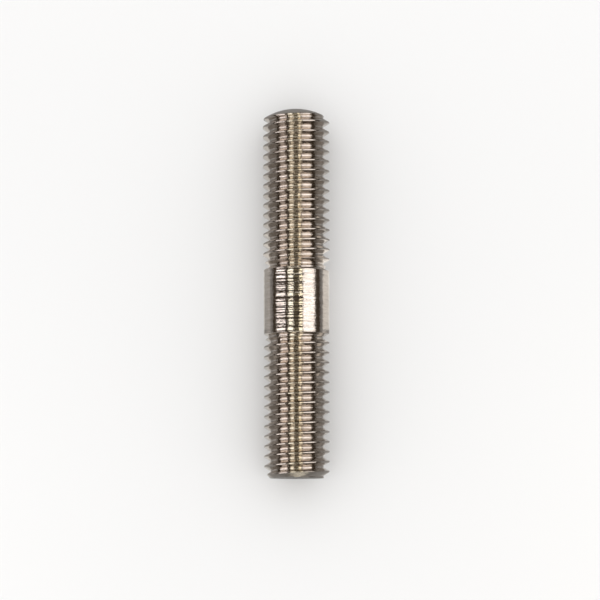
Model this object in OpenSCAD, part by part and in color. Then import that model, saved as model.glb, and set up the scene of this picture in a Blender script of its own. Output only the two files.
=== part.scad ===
// Double-ended stud, M12 x 1.75: one steel bar with a right-hand thread cut on each end and a plain
// turned shank between the threads. All of it is a single piece, with no other parts.
// It lies along Y. The origin is on its axis, halfway along the plain shank.
// +Y points to the rounded end and -Y to the flat, chamfered end.

/* [Thread form] */
// Distance along the axis from one thread crest to the next
pitch = 1.75; // [1.5:0.05:2]
// Width of the flat on a crest, as a share of the pitch
crest_share = 0.125; // [0.08:0.005:0.16]
// Width of the flat at a root, as a share of the pitch
root_share = 0.165; // [0.12:0.005:0.25]
// Facets in one turn of a thread
turn_facets = 30; // [24:1:32]

/* [Plain shank] */
// Diameter of the plain shank
shank_d = 11.72; // [11.6:0.01:12]
// Length of the plain shank
shank_l = 11.4; // [10:0.1:16]

/* [Rounded end] */
// Diameter over the thread crests at the rounded end
round_end_d = 11.92; // [11.7:0.01:12]
// Length from the shank to the tip of the rounded point
round_end_l = 28.75; // [20:0.05:30]
// Radius of the rounded point
point_r = 10.5; // [9:0.5:14]
// Place of a thread root on the +X side, measured from the origin
round_end_root = 6.62; // [6.5:0.02:6.9]

/* [Flat end] */
// Diameter over the thread crests at the flat end
flat_end_d = 11.7; // [11.6:0.01:12]
// Length from the shank to the flat face
flat_end_l = 25.5; // [18:0.05:28]
// Length of the 45 degree chamfer at the flat face
chamfer_l = 1.1; // [0.8:0.05:1.2]
// Place of a thread root on the +X side, measured from the origin
flat_end_root = 6.42; // [6.2:0.02:6.6]

/* [Hidden] */
// a 60 degree thread's flank rises tan(60) outwards for each millimetre along the axis
flank_slope = tan(60);
thread_depth = pitch * (1 - crest_share - root_share) / 2 * flank_slope;
shank_r = shank_d / 2;
shoulder_y = shank_l / 2;
// the threads' inner ends are buried this far inside the shank, and stay this far under its surface
buried_l = 0.7;
buried_gap = 0.06;
// the crests are trimmed to the buried radius for this far outside the shank
trimmed_l = 0.45;
rows_per_turn = 4;
row_shares = [-crest_share / 2, crest_share / 2, 0.5 - root_share / 2, 0.5 + root_share / 2];
tip_y = shoulder_y + round_end_l;
face_y = -shoulder_y - flat_end_l;
// the thread stops where the rounded point is this thick, inside every root
point_start_r = 4.5;
point_start_y = tip_y - point_r + sqrt(point_r ^ 2 - point_start_r ^ 2);
point_rings = 4;

// How a thread is cut. The tool comes in from the stud's end, one pitch a turn. At the stop it slows to
// a share of its feed, then draws out of the metal over the fading turns, which leaves the run-out.
// [side, crest radius, stop place, slow feed share, full-depth turns after the stop, fading turns]
ROUND_END = [1, round_end_d / 2, round_end_root, 0.38, 0.9, 0.5];
FLAT_END = [-1, flat_end_d / 2, -flat_end_root, 0.12, 0, 1.6];

function limited(value, low, high) = min(high, max(low, value));

// Place of the tool, and how far it is drawn out, a number of turns after the stop
function tool_y(cut, turns) = cut[2] - cut[0] * pitch * turns * (turns > 0 ? cut[3] : 1);
function tool_lift(cut, turns) = thread_depth * max(0, (turns - cut[4]) / cut[5]);

// Radius that one pass of the tool leaves at a place along the axis
function pass_r(cut, turns, y) =
    let (off_flat = max(0, abs(y - tool_y(cut, turns)) - pitch * root_share / 2))
    cut[1] - thread_depth + tool_lift(cut, turns) + off_flat * flank_slope;

// Radius of the bar before the thread is cut: the point, the chamfer and the part inside the shank
function blank_r(cut, y) =
    let (in_trim = abs(y) < shoulder_y + trimmed_l)
    let (inner_r = in_trim ? min(cut[1], shank_r - buried_gap) : cut[1])
    cut[0] > 0
        ? min(inner_r, sqrt(point_r ^ 2 - max(0, y - tip_y + point_r) ^ 2))
        : min(inner_r, cut[1] - chamfer_l + (y - face_y));

// Radius of the finished thread at a place along the axis and an angle from +X towards +Z
function thread_r(cut, y, angle) =
    let (share = cut[0] * angle / 360)
    let (nearest = floor((cut[2] - y) * cut[0] / pitch - share))
    let (last = ceil(cut[4] + cut[5]))
    let (passes = [for (n = [min(nearest, last) - 1 : last]) if (n + share < cut[4] + cut[5]) n + share])
    min(blank_r(cut, y), min([for (turns = passes) pass_r(cut, turns, y)]));

// Points of a thread between two places along the axis. The rows wind with the helix, four to a turn,
// and rows past either place are held at it, so that both ends are flat.
function first_crest(cut, low) = low - pitch - (low - cut[2] - pitch / 2) % pitch;
function row_count(low, high) = rows_per_turn * (ceil((high - low) / pitch) + 3);
function row_y(cut, low, high, row, column) =
    let (turn = floor(row / rows_per_turn) + row_shares[row % rows_per_turn])
    limited(first_crest(cut, low) + pitch * (turn - column / turn_facets), low, high);
function ring_point(r, y, angle) = [r * cos(angle), y, r * sin(angle)];

// Thread surface and its two ends as one closed solid. Extra rings close the rounded point.
module thread(cut, low, high, rings) {
    rows = row_count(low, high);
    wound = [
        for (row = [0 : rows])
            for (column = [0 : turn_facets - 1])
                let (angle = column * 360 / turn_facets)
                let (y = row_y(cut, low, high, row, column))
                ring_point(thread_r(cut, y, angle), y, angle)
    ];
    point = [
        for (ring = rings)
            for (column = [0 : turn_facets - 1])
                ring_point(ring[0], ring[1], column * 360 / turn_facets)
    ];
    inner_centre = [0, low, 0];
    outer_centre = [0, len(rings) > 0 ? tip_y : high, 0];
    all_rows = rows + len(rings);
    inner_index = len(wound) + len(point);
    // the last column meets the first one turn further along, so its rows step back by a turn
    function index(row, column) =
        let (stepped = column < turn_facets || row > rows ? row : max(0, row - rows_per_turn))
        stepped * turn_facets + column % turn_facets;
    walls = [
        for (row = [0 : all_rows - 1])
            for (column = [0 : turn_facets - 1])
                for (corner = [0, 1])
                    corner == 0
                        ? [index(row, column), index(row + 1, column + 1), index(row + 1, column)]
                        : [index(row, column), index(row, column + 1), index(row + 1, column + 1)]
    ];
    ends = [
        for (column = [0 : turn_facets - 1])
            for (end = [0, 1])
                end == 0
                    ? [inner_index, index(0, column + 1), index(0, column)]
                    : [inner_index + 1, index(all_rows, column), index(all_rows, column + 1)]
    ];
    polyhedron(points = concat(wound, point, [inner_centre, outer_centre]), faces = concat(walls, ends));
}

module double_end_stud() {
    point_profile = [
        for (ring = [1 : point_rings - 1])
            let (r = point_start_r * (1 - ring / point_rings))
            [r, tip_y - point_r + sqrt(point_r ^ 2 - r ^ 2)]
    ];
    color([0.78, 0.75, 0.71])
        union() {
            rotate([-90, 0, 0])
                translate([0, 0, -shoulder_y])
                    cylinder(h = shank_l, r = shank_r, $fn = 96);
            thread(ROUND_END, shoulder_y - buried_l, point_start_y, point_profile);
            thread(FLAT_END, face_y, buried_l - shoulder_y, []);
        }
}

double_end_stud();
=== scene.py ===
import math

import bpy
import numpy as np
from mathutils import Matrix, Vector


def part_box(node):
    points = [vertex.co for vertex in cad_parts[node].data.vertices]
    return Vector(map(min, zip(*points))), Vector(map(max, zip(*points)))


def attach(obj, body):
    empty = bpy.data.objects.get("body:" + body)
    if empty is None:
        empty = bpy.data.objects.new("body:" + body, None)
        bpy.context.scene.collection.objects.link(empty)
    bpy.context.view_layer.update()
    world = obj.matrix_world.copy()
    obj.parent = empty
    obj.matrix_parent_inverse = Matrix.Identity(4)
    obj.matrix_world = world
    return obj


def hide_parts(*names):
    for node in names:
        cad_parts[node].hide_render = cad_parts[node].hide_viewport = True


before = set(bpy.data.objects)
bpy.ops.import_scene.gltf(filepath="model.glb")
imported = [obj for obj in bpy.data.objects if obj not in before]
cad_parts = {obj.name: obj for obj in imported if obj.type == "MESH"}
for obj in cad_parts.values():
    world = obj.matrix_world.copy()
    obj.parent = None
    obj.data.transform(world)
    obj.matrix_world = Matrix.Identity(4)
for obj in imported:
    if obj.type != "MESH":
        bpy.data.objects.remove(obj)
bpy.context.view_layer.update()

MM = 0.001
NODE = "double_end_stud"
LOW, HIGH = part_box(NODE)
# The stud lies on the floor, so its radius gives the floor's height
FLOOR_Z = LOW.x

# ---------------------------------------------------------------- sizes of the stud, in millimetres
# The origin is on the axis, halfway along the plain shank. +Y points to the rounded end.
PITCH = 1.75
# Depth of an ISO external thread, and width of the flat at its root
THREAD_DEPTH = 0.6134 * PITCH
ROOT_FLAT = 0.165 * PITCH
# The flank of a 60 degree thread rises this far for each millimetre along the axis
FLANK_SLOPE = math.tan(math.radians(60))
SHANK_R = 5.86
SHOULDER_Y = 5.7
TIP_Y = HIGH.y / MM
FACE_Y = LOW.y / MM
POINT_R = 10.5
CHAMFER = 1.1
# The crests are trimmed to the shank's radius for this far beyond each shoulder
TRIMMED = 0.35
# The grooves may run this far into the shank
RUN_IN = 1.2
# The surface stays this far inside the CAD model's crests, whose facets make its box a little lower
SKIN = 0.034
# Widths over which the corners are rounded
ROOT_BLEND = 0.12
CREST_BLEND = 0.09
POINT_BLEND = 0.12
CHAMFER_BLEND = 0.22
# A radius larger than any on the stud
NO_GROOVE = 99.0


class Cut:
    """How one thread is cut: the tool comes in from the stud's end, slows at the stop and draws out."""

    def __init__(self, side, crest_r, stop_y, slow_feed, full_turns, fading_turns):
        self.side = side
        self.crest_r = crest_r
        self.stop_y = stop_y
        self.slow_feed = slow_feed
        self.full_turns = full_turns
        self.fading_turns = fading_turns

    def tool_y(self, turns):
        return self.stop_y - self.side * PITCH * turns * np.where(turns > 0, self.slow_feed, 1.0)

    def lift(self, turns):
        return THREAD_DEPTH * np.maximum(0.0, (turns - self.full_turns) / self.fading_turns)

    def passes(self, y, angle):
        """Turns of the tool that can touch the places y, angle (radians from +X towards +Z)."""
        share = self.side * angle / (2 * math.pi)
        nearest = np.floor((self.stop_y - y) * self.side / PITCH - share)
        last = self.full_turns + self.fading_turns
        for step in range(-1, 4):
            turns = np.minimum(nearest, math.ceil(last)) + step + share
            yield np.minimum(turns, last)


ROUND_END = Cut(
    side=1, crest_r=5.96 - SKIN, stop_y=6.62, slow_feed=0.38, full_turns=0.9, fading_turns=0.5)
FLAT_END = Cut(
    side=-1, crest_r=5.85 - SKIN, stop_y=-6.42, slow_feed=0.12, full_turns=0.0, fading_turns=1.6)


def smooth_min(a, b, blend):
    """The smaller of two values, with the corner where they cross rounded over the blend."""
    mix = np.clip(0.5 + 0.5 * (b - a) / blend, 0.0, 1.0)
    return b + (a - b) * mix - blend * mix * (1.0 - mix)


def groove(offset):
    """Height of the tool's edge above the root, at an offset along the axis from its middle."""
    flank = (np.abs(offset) - ROOT_FLAT / 2) * FLANK_SLOPE
    return -smooth_min(0.0, -flank, ROOT_BLEND)


def blank_r(y):
    """Radius of the bar before it is threaded: shank, rounded point and chamfer."""
    threaded = np.where(y > 0, ROUND_END.crest_r, FLAT_END.crest_r)
    r = np.where(np.abs(y) < SHOULDER_Y + TRIMMED, SHANK_R - SKIN, threaded)
    point = np.sqrt(np.maximum(0.0, POINT_R ** 2 - np.maximum(0.0, y - TIP_Y + POINT_R) ** 2))
    chamfer = FLAT_END.crest_r - CHAMFER + (y - FACE_Y)
    return smooth_min(smooth_min(r, point, POINT_BLEND), chamfer, CHAMFER_BLEND)


class Marks:
    """Turning marks: an irregular sum of shallow waves along the stud.

    shortest, longest: range of the wavelengths. slope: root mean square slope of the sum.
    """

    def __init__(self, seed, shortest, longest, waves, slope):
        random = np.random.default_rng(seed)
        self.lengths = np.geomspace(shortest, longest, waves)
        self.heights = slope * math.sqrt(2 / waves) * self.lengths / (2 * math.pi)
        self.phases = random.uniform(0, 2 * math.pi, waves)
        # how far each wave wanders along the stud on its way round it, in radians of the wave
        self.drifts = random.uniform(-1.6, 1.6, waves)
        self.turns = random.uniform(0, 2 * math.pi, waves)
        self.rms_height = math.sqrt(np.sum(self.heights ** 2) / 2)

    def height(self, y, angle):
        total = np.zeros_like(y)
        for length, height, phase, drift, turn in zip(
                self.lengths, self.heights, self.phases, self.drifts, self.turns):
            wave = np.sin(2 * math.pi * y / length + phase + drift * np.sin(angle + turn))
            total += height * wave
        return total


WAVES = Marks(seed=11, shortest=0.34, longest=1.5, waves=12, slope=0.042)
SCRATCHES = Marks(seed=23, shortest=0.26, longest=0.8, waves=10, slope=0.16)
# The waves' strength halfway along the shank, and how much it grows in a millimetre along +Y
WAVE_STRENGTH = 0.95
WAVE_GROWTH = 0.06
# The uncut surface is this many root mean square heights above the middle of the waves
WAVE_TOP = 2.5
# A scratch cuts in where it is deeper than this many root mean square heights
SCRATCH_TOP = 0.9


def marks_depth(y, angle):
    """How far the marks cut into the shank. The waves are deeper towards the rounded end."""
    waves = WAVES.height(y, angle) * (WAVE_STRENGTH + WAVE_GROWTH * y)
    scratches = SCRATCHES.height(y, angle) - SCRATCH_TOP * SCRATCHES.rms_height
    return np.maximum(0.0, WAVE_TOP * WAVES.rms_height - waves) + np.maximum(0.0, scratches)


def surface_r(y, angle):
    """Radius of the finished stud at places y, angle."""
    r = blank_r(y)
    r = np.where(np.abs(y) < SHOULDER_Y, r - marks_depth(y, angle), r)
    for cut in (ROUND_END, FLAT_END):
        grooves = np.full_like(r, NO_GROOVE)
        for turns in cut.passes(y, angle):
            root_r = cut.crest_r - THREAD_DEPTH + cut.lift(turns)
            grooves = np.minimum(grooves, root_r + groove(y - cut.tool_y(turns)))
        reached = y * cut.side > SHOULDER_Y - RUN_IN
        r = np.where(reached, smooth_min(r, grooves, CREST_BLEND), r)
    return r


# ---------------------------------------------------------------- mesh of the stud
COLUMNS = 100
ANGLES = np.arange(COLUMNS) * 2 * math.pi / COLUMNS
# A thread's rows from the middle of a crest to the middle of the next root, as shares of the pitch.
# They are close together where the surface bends.
HALF_SHARES = [0.0, 0.035, 0.055, 0.07, 0.09, 0.23, 0.375, 0.4, 0.425, 0.46]
ROW_SHARES = HALF_SHARES + [0.5] + [1.0 - share for share in reversed(HALF_SHARES[1:])]
# Points of a winding row that come closer than this to a flat ring are merged with the ring's
SNAP = 0.02 * PITCH
# Rings on the flat face, as shares of its radius, and the first ring beyond it
FACE_SHARES = (0.3, 0.6, 0.85, 0.97)
FACE_GAP = 0.004
# Flat rings take over from the winding rows this far from the origin, and are wider apart on the shank
WOUND_Y = 8.6
RUN_OUT_STEP = 0.04
SHANK_END = 5.5
SHANK_STEP = 0.0625
# The last winding rows are this far from the tip, and smaller and smaller rings close the point
POINT_L = 1.1
POINT_SHARES = np.linspace(0.92, 0.08, 12)


class Skin:
    """Rows of points round the stud, stitched into one closed mesh."""

    def __init__(self):
        self.points = []
        self.faces = []
        self.first_row = None
        self.last_row = None
        self.last_y = None

    def add_points(self, y, r, angle):
        first = len(self.points)
        self.points += list(zip(r * np.cos(angle), y, r * np.sin(angle)))
        return np.arange(first, first + len(y))

    def add_ring(self, y, r=None):
        """A flat ring, joined to the row before it. Its radius is the surface's unless it is given."""
        places = np.full(COLUMNS, y)
        radii = surface_r(places, ANGLES) if r is None else np.full(COLUMNS, r)
        row = self.add_points(places, radii, ANGLES)
        if self.last_row is None:
            self.first_row = row
        else:
            self.stitch(self.last_row, row, np.roll(self.last_row, -1), np.roll(row, -1))
        self.last_row = row
        self.last_y = y

    def stitch(self, low, high, low_next, high_next):
        for a, b, c, d in zip(low, high, high_next, low_next):
            corners = list(dict.fromkeys((int(a), int(b), int(c), int(d))))
            if len(corners) > 2:
                self.faces.append(corners)

    def add_thread(self, cut, high):
        """Rows that wind with the helix from the last ring up to a new ring at high."""
        low = self.last_y
        first = cut.stop_y + PITCH / 2
        first += PITCH * (math.floor((low - first) / PITCH) - 1)
        turns = math.ceil((high - low) / PITCH) + 4
        bottom = self.last_row
        places = np.full(COLUMNS, high)
        top = self.add_points(places, surface_r(places, ANGLES), ANGLES)
        rows = []
        for turn in range(turns):
            for share in ROW_SHARES:
                y = first + PITCH * (turn + share - ANGLES / (2 * math.pi))
                inside = (y > low + SNAP) & (y < high - SNAP)
                radii = surface_r(y[inside], ANGLES[inside])
                row = np.where(y <= low + SNAP, bottom, top)
                row[inside] = self.add_points(y[inside], radii, ANGLES[inside])
                rows.append(row)
        per_turn = len(ROW_SHARES)
        for index in range(len(rows) - 1):
            low_row, high_row = rows[index], rows[index + 1]
            # after a whole turn the helix meets the row that is one pitch lower
            low_seam = rows[max(0, index - per_turn)][0]
            high_seam = rows[max(0, index + 1 - per_turn)][0]
            low_next = np.append(low_row[1:], low_seam)
            high_next = np.append(high_row[1:], high_seam)
            self.stitch(low_row, high_row, low_next, high_next)
        self.last_row = top
        self.last_y = high

    def cap(self, y, first):
        """Closes the first or the last row with a fan to a point on the axis."""
        centre = len(self.points)
        self.points.append((0.0, y, 0.0))
        row = self.first_row if first else self.last_row
        for a, b in zip(row, np.roll(row, -1)):
            self.faces.append([centre, int(a), int(b)] if first else [centre, int(b), int(a)])


def stud_mesh():
    skin = Skin()
    for share in FACE_SHARES:
        skin.add_ring(FACE_Y, (FLAT_END.crest_r - CHAMFER) * share)
    skin.add_ring(FACE_Y + FACE_GAP)
    skin.add_thread(FLAT_END, -WOUND_Y)
    for start, stop, step in (
            (-WOUND_Y + RUN_OUT_STEP, -SHANK_END, RUN_OUT_STEP),
            (-SHANK_END, SHANK_END, SHANK_STEP),
            (SHANK_END, WOUND_Y, RUN_OUT_STEP)):
        for y in np.arange(start, stop, step):
            skin.add_ring(y)
    skin.add_thread(ROUND_END, TIP_Y - POINT_L)
    centre = TIP_Y - POINT_R
    rim = math.acos((skin.last_y - centre) / POINT_R)
    for share in POINT_SHARES:
        skin.add_ring(centre + POINT_R * math.cos(rim * share), POINT_R * math.sin(rim * share))
    skin.cap(TIP_Y, first=False)
    skin.cap(FACE_Y, first=True)
    mesh = bpy.data.meshes.new("stud_body")
    mesh.from_pydata([tuple(c * MM for c in p) for p in skin.points], [], skin.faces)
    mesh.validate()
    mesh.update()
    return mesh


# ---------------------------------------------------------------- nodes that materials and lights share
# The middle of a noise's values, where most of them lie
NOISE_MIDDLE = (0.3, 0.7)


def add_noise(tree, scales, detail, roughness):
    """Noise over the stud's own coordinates, with a number of features per metre along X, Y and Z."""
    place = tree.nodes.new("ShaderNodeTexCoord")
    stretch = tree.nodes.new("ShaderNodeMapping")
    stretch.inputs["Scale"].default_value = scales
    noise = tree.nodes.new("ShaderNodeTexNoise")
    noise.inputs["Scale"].default_value = 1.0
    noise.inputs["Detail"].default_value = detail
    noise.inputs["Roughness"].default_value = roughness
    tree.links.new(place.outputs["Object"], stretch.inputs["Vector"])
    tree.links.new(stretch.outputs["Vector"], noise.inputs["Vector"])
    return noise.outputs["Fac"]


def add_range(tree, value, low, high):
    """Spreads the middle of a noise over a range of values."""
    spread = tree.nodes.new("ShaderNodeMapRange")
    spread.inputs["From Min"].default_value = NOISE_MIDDLE[0]
    spread.inputs["From Max"].default_value = NOISE_MIDDLE[1]
    spread.inputs["To Min"].default_value = low
    spread.inputs["To Max"].default_value = high
    tree.links.new(value, spread.inputs["Value"])
    return spread.outputs["Result"]


def add_mix(tree, factor, colour_a, colour_b):
    mix = tree.nodes.new("ShaderNodeMix")
    mix.data_type = "RGBA"
    mix.inputs["A"].default_value = (*colour_a, 1)
    mix.inputs["B"].default_value = (*colour_b, 1)
    tree.links.new(factor, mix.inputs["Factor"])
    return mix.outputs["Result"]


def add_bump(tree, height, distance, below=None):
    """Bump of a height in metres, on top of the bump below it."""
    bump = tree.nodes.new("ShaderNodeBump")
    bump.inputs["Strength"].default_value = 1.0
    bump.inputs["Distance"].default_value = distance
    tree.links.new(height, bump.inputs["Height"])
    if below is not None:
        tree.links.new(below, bump.inputs["Normal"])
    return bump.outputs["Normal"]


def add_fade(tree, value, start, end):
    """A soft step from 0 where the value is at the start to 1 where it is at the end."""
    fade = tree.nodes.new("ShaderNodeMapRange")
    fade.interpolation_type = "SMOOTHSTEP"
    fade.inputs["From Min"].default_value = start
    fade.inputs["From Max"].default_value = end
    tree.links.new(value, fade.inputs["Value"])
    return fade.outputs["Result"]


def add_math(tree, operation, *values):
    """A Math node on other nodes' outputs and plain numbers."""
    node = tree.nodes.new("ShaderNodeMath")
    node.operation = operation
    for socket, value in zip(node.inputs, values):
        if isinstance(value, float):
            socket.default_value = value
        else:
            tree.links.new(value, socket)
    return node.outputs["Value"]


def add_axes(tree, place):
    """The X, Y and Z of a vector, as a node's outputs."""
    axes = tree.nodes.new("ShaderNodeSeparateXYZ")
    tree.links.new(place, axes.inputs["Vector"])
    return axes.outputs


# ---------------------------------------------------------------- materials
def new_material(name):
    """A new material with its node tree and its shader."""
    material = bpy.data.materials.new(name)
    material.use_nodes = True
    return material, material.node_tree, material.node_tree.nodes["Principled BSDF"]


CLEAN_METAL = (0.76, 0.705, 0.65)
STAINED_METAL = (0.56, 0.50, 0.44)


def nickel():
    """Bright turned metal: fine tool lines round the bar, a light grain, and faint brown stains."""
    material, tree, shader = new_material("bright_metal")
    shader.inputs["Metallic"].default_value = 1.0
    stains = add_noise(tree, scales=(400, 2400, 400), detail=5, roughness=0.6)
    tint = add_mix(tree, add_range(tree, stains, 0.0, 1.0), CLEAN_METAL, STAINED_METAL)
    tree.links.new(tint, shader.inputs["Base Color"])
    smudges = add_noise(tree, scales=(300, 3200, 300), detail=4, roughness=0.6)
    tree.links.new(add_range(tree, smudges, low=0.05, high=0.16), shader.inputs["Roughness"])
    tool_lines = add_noise(tree, scales=(250, 3400, 250), detail=3, roughness=0.6)
    waviness = add_noise(tree, scales=(1100, 1800, 1100), detail=3, roughness=0.55)
    grain = add_noise(tree, scales=(2800, 2800, 2800), detail=3, roughness=0.5)
    normal = add_bump(tree, tool_lines, distance=7e-6)
    normal = add_bump(tree, waviness, distance=2.3e-5, below=normal)
    normal = add_bump(tree, grain, distance=1.4e-5, below=normal)
    tree.links.new(normal, shader.inputs["Normal"])
    return material


# Where the floor counts as near to the stud, in metres from the origin: each fades from 0 to 1. Gloss sees
# the floor near the stud close to its paper tone, and with a painted shade everywhere else
NEAR_LEFT = (-0.0099, -0.0083)
NEAR_RIGHT = (0.0095, 0.006)
NEAR_ENDS = (0.036, 0.03)
# A patch of floor just outside the flat face isn't near, so gloss sees a painted shadow there: it ends
# between these places on each axis
FACE_SIDES = (0.0052, 0.0060)
FACE_FRONT = (-0.0314, -0.0311)
# How far the floor near to the stud goes back to the tone that the camera sees, out of the painted shade
# that gloss sees elsewhere
NEAR_SHARE = 0.85
# The floor's tone for the camera, and the painted shade that gloss sees away from the stud
PAPER_TONE = (0.9, 0.9, 0.9)
GLOSS_PAINTED_SHADE = (0.27, 0.27, 0.27)


def paper():
    """A smooth pale sheet. Gloss sees it darker than the camera does, a painted shade in the stud's
    reflections, except close beside the stud.
    """
    material, tree, shader = new_material("floor_white")
    shader.inputs["Roughness"].default_value = 0.28
    path = tree.nodes.new("ShaderNodeLightPath")
    place = tree.nodes.new("ShaderNodeTexCoord")
    axes = add_axes(tree, place.outputs["Object"])
    near_left = add_fade(tree, axes["X"], *NEAR_LEFT)
    near_right = add_fade(tree, axes["X"], *NEAR_RIGHT)
    near_ends = add_fade(tree, add_math(tree, "ABSOLUTE", axes["Y"]), *NEAR_ENDS)
    beside_face = add_fade(tree, add_math(tree, "ABSOLUTE", axes["X"]), *FACE_SIDES)
    behind_face = add_fade(tree, axes["Y"], *FACE_FRONT)
    off_face = add_math(tree, "MAXIMUM", beside_face, behind_face)
    near = add_math(tree, "MULTIPLY", near_left, near_right)
    near = add_math(tree, "MULTIPLY", near, off_face)
    near = add_math(tree, "MULTIPLY", near, near_ends)
    away = add_math(tree, "MULTIPLY_ADD", near, -NEAR_SHARE, 1.0)
    # Gloss rays away from the stud see the floor with the painted shade
    darker = add_math(tree, "MULTIPLY", away, path.outputs["Is Glossy Ray"])
    tone = add_mix(tree, darker, PAPER_TONE, GLOSS_PAINTED_SHADE)
    tree.links.new(tone, shader.inputs["Base Color"])
    return material


# ---------------------------------------------------------------- pieces
stud = bpy.data.objects.new("stud_body", stud_mesh())
bpy.context.scene.collection.objects.link(stud)
stud.data.polygons.foreach_set("use_smooth", [True] * len(stud.data.polygons))
stud.data.materials.append(nickel())
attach(stud, "root")
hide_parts(NODE)

bpy.ops.mesh.primitive_plane_add(size=6.0, location=(0, 0, FLOOR_Z))
floor = bpy.context.object
floor.name = "floor"
floor.data.materials.append(paper())


# ---------------------------------------------------------------- light
PINK = (1.0, 0.95, 0.96)
CREAM = (1.0, 0.98, 0.86)
AMBER = (1.0, 0.92, 0.7)
OLIVE = (1.0, 0.93, 0.55)
WHITE = (1.0, 0.97, 0.95)
CARD_WHITE = (1.0, 0.97, 0.92)
PANEL_DISTANCE = 0.6
# Width of a fold in the cloth of the panels over the stud, and the folds in a smaller light
FOLD_WIDTH = 0.022
FEW_FOLDS = 0.952
# Shares of a light over which its -X, +X and +Y edges fade
NARROW_FADES = (0.06, 0.06, 0.01)


def soft_light(name, place, turn, size, radiance, colour, fades, folds):
    """A light of uneven cloth that only gloss sees. Its sizes are along X and Y, before it is turned."""
    data = bpy.data.lights.new(name, "AREA")
    data.shape = "RECTANGLE"
    data.size, data.size_y = size
    data.color = colour
    data.energy = radiance * math.pi * data.size * data.size_y
    data.use_nodes = True
    tree = data.node_tree
    geometry = tree.nodes.new("ShaderNodeNewGeometry")
    axes = add_axes(tree, geometry.outputs["Parametric"])
    left = add_fade(tree, axes["X"], 0.0, fades[0])
    right = add_fade(tree, axes["X"], 1.0, 1.0 - fades[1])
    far = add_fade(tree, axes["Y"], 1.0, 1.0 - fades[2])
    cloth = tree.nodes.new("ShaderNodeTexNoise")
    cloth.noise_dimensions = "1D"
    cloth.inputs["Scale"].default_value = folds
    cloth.inputs["Detail"].default_value = 2.0
    tree.links.new(axes["Y"], cloth.inputs["W"])
    uneven = add_range(tree, cloth.outputs["Fac"], low=0.6, high=1.25)
    sides = add_math(tree, "MULTIPLY", left, right)
    strength = add_math(tree, "MULTIPLY", sides, add_math(tree, "MULTIPLY", far, uneven))
    tree.links.new(strength, tree.nodes["Emission"].inputs["Strength"])
    light = bpy.data.objects.new(name, data)
    bpy.context.scene.collection.objects.link(light)
    light.location = place
    light.rotation_euler = turn
    light.visible_diffuse = False
    return light


def panel(name, across, along, radiance, colour, fades=NARROW_FADES):
    """A soft panel over the stud.

    across: from and to, in degrees from straight up towards +X. along: the same towards +Y.
    """
    middle = math.radians(sum(across) / 2)
    half = math.radians((across[1] - across[0]) / 2)
    start, end = (PANEL_DISTANCE * math.tan(math.radians(degrees)) for degrees in along)
    place = (PANEL_DISTANCE * math.sin(middle), (start + end) / 2, PANEL_DISTANCE * math.cos(middle))
    size = (2 * PANEL_DISTANCE * math.tan(half), end - start)
    soft_light(name, place, (0, middle, 0), size, radiance, colour, fades, size[1] / FOLD_WIDTH)


# In the metal, each panel shows as one column of light, or a stretch of it, on the side that its name says
panel("left_panel", (-77, -39), (-30, 3.9), 2.15, PINK, (0.15, 0.06, 0.004))
panel("left_panel_far", (-75, -40), (18, 35), 1.0, PINK)
panel("left_panel_top", (-92, -54), (36, 60), 0.6, PINK)
panel("left_top", (-28.8, -9.8), (-36, 5.0), 2.2, CREAM, (0.1, 0.15, 0.004))
panel("left_top_far", (-30, -10), (18, 35), 1.6, CREAM)
panel("left_top_top", (-34, -12), (44, 62), 1.4, CREAM)
panel("centre", (-8.5, 7.5), (-50, 3.0), 0.14, OLIVE, (0.1, 0.1, 0.012))
panel("centre_far", (-9.5, 9.5), (21, 35), 1.3, CREAM)
panel("right_top", (9, 20.8), (-36, 4.4), 2.4, AMBER, (0.2, 0.04, 0.004))
panel("right_top_far", (10, 19.5), (18, 35), 2.3, CREAM)
panel("right_top_top", (11, 25.0), (44, 62), 1.4, CREAM)
panel("right_panel_foot", (21.4, 72), (-30, -7), 0.9, PINK, (0.07, 0.22, 0.01))
panel("right_panel_low", (21.4, 72), (-7, 3.4), 2.0, WHITE, (0.07, 0.22, 0.01))
panel("right_panel", (21.4, 69), (3.4, 8.0), 0.95, PINK, (0.07, 0.22, 0.01))
panel("right_panel_far", (23.2, 74), (8.0, 16), 2.2, WHITE, (0.06, 0.22, 0.01))
panel("right_panel_top", (23.2, 72), (16, 42), 1.0, PINK, (0.15, 0.22, 0.15))
panel("centre_top", (-8, 7), (42, 60), 0.15, CREAM)


def card(name, x, radiance):
    """A strip of the floor beside the shank that gloss sees brighter than the rest."""
    place = (x, 0.002, FLOOR_Z + 0.0002)
    size = (0.032, 0.013)
    facing_up = (math.pi, 0, 0)
    light = soft_light(name, place, facing_up, size, radiance, CARD_WHITE, NARROW_FADES, FEW_FOLDS)
    light.visible_camera = False


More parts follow.
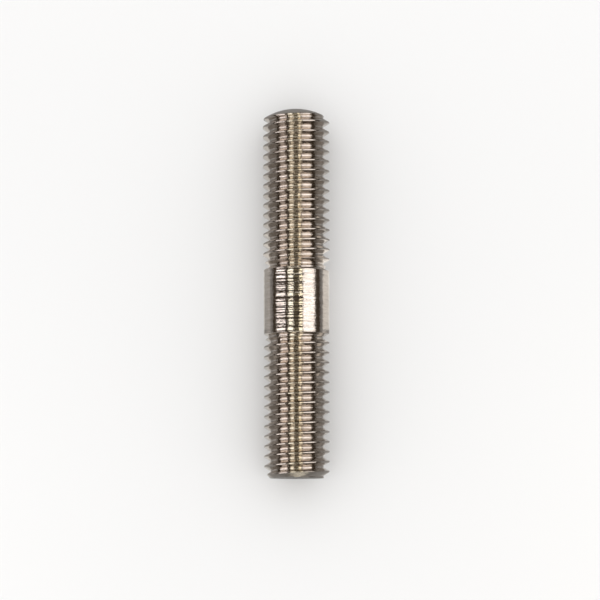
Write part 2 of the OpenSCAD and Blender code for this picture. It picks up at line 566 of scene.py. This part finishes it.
card("left_card", -0.021, 0.14)
card("right_card", 0.021, 0.45)


def front_light():
    """An upright light before the flat end, for the chamfer. It lights the stud and not the floor."""
    place = (0.02, -0.2, FLOOR_Z + 0.04)
    size = (0.22, 0.08)
    facing_stud = (math.pi / 2, 0, 0)
    light = soft_light("front", place, facing_stud, size, 0.5, CREAM, (0.5, 0.2, 0.01), FEW_FOLDS)
    lit = bpy.data.collections.new("lit_by_front")
    lit.objects.link(stud)
    light.light_linking.receiver_collection = lit


def studio():
    """An even pale room, which gloss sees as nearly dark between the panels."""
    world = bpy.data.worlds.new("studio")
    bpy.context.scene.world = world
    world.use_nodes = True
    nodes, links = world.node_tree.nodes, world.node_tree.links
    room = nodes["Background"]
    room.inputs["Color"].default_value = (1.09, 1.085, 1.08, 1)
    dark = nodes.new("ShaderNodeBackground")
    dark.inputs["Color"].default_value = (0.058, 0.045, 0.033, 1)
    mix = nodes.new("ShaderNodeMixShader")
    path = nodes.new("ShaderNodeLightPath")
    links.new(path.outputs["Is Glossy Ray"], mix.inputs["Fac"])
    links.new(room.outputs["Background"], mix.inputs[1])
    links.new(dark.outputs["Background"], mix.inputs[2])
    links.new(mix.outputs["Shader"], nodes["World Output"].inputs["Surface"])


front_light()
studio()

# ---------------------------------------------------------------- camera
# It looks down on the stud, from a little towards the flat end
CAMERA_DISTANCE = 0.5
CAMERA_TILT = math.radians(5.4)
CAMERA_ROLL = math.radians(0.15)
CAMERA_TARGET = Vector((0.00051, 0.00033, 0))


def look_down():
    data = bpy.data.cameras.new("camera")
    data.sensor_width = 36
    data.lens = 169.3
    camera = bpy.data.objects.new("camera", data)
    bpy.context.scene.collection.objects.link(camera)
    offset = Vector((0, -math.sin(CAMERA_TILT), math.cos(CAMERA_TILT))) * CAMERA_DISTANCE
    camera.location = CAMERA_TARGET + offset
    camera.rotation_euler = (CAMERA_TILT, 0, -CAMERA_ROLL)
    bpy.context.scene.camera = camera


look_down()
bpy.context.scene.view_settings.view_transform = "Standard"
